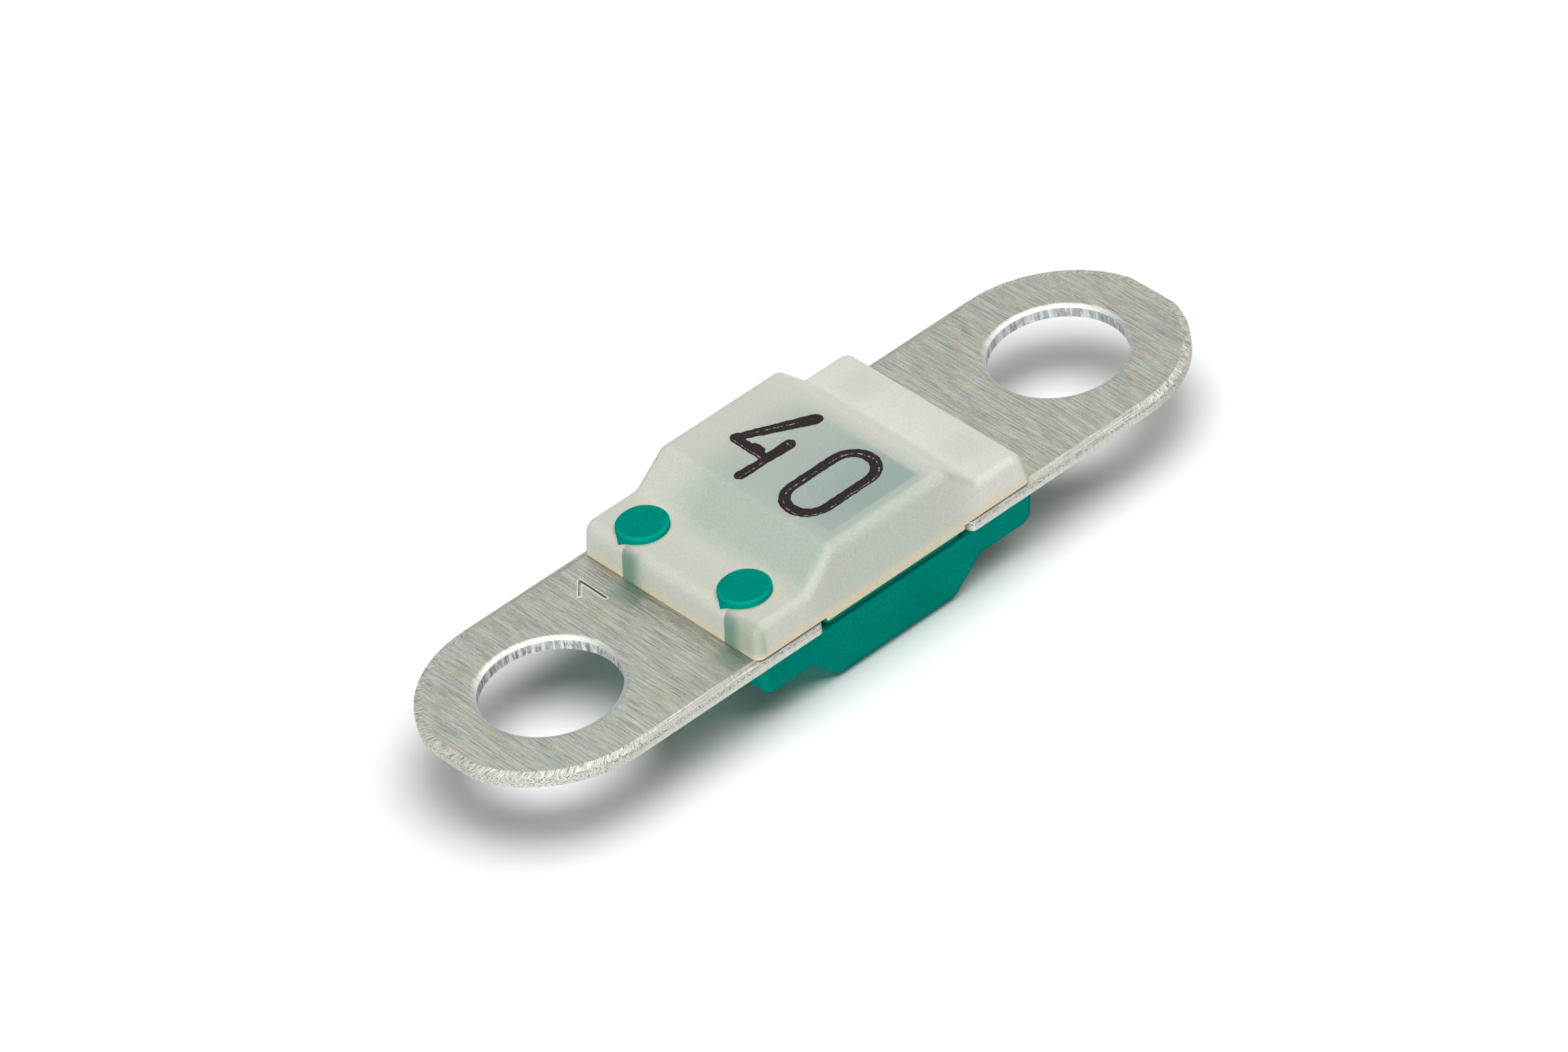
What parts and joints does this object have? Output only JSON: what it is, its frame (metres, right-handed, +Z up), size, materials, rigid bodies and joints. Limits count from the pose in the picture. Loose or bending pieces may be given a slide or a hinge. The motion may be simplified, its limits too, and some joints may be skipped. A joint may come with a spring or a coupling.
{
  "type": "bolt down strip fuse",
  "caption": "Bolt-down strip fuse: a flat metal strip with a bolt hole in each round end, and its fusible link closed in a small stepped housing with a clear cover.",
  "frame": {"origin": "middle of the flat underside that the fuse stands on", "axes": "+X along the strip, +Z up through the clear cover; the green staking pins are towards -X"},
  "size_m": [0.0416, 0.012, 0.007],
  "materials": {
    "zinc_strip": "zinc, brushed across the strip",
    "clear_housing": "milky translucent, lightly grained",
    "green_housing": "satin, lightly grained"
  },
  "bodies": {
    "root": {"fuse_strip": "zinc_strip", "upper_cover": "clear_housing", "lower_base": "green_housing"}
  },
  "joints": []
}
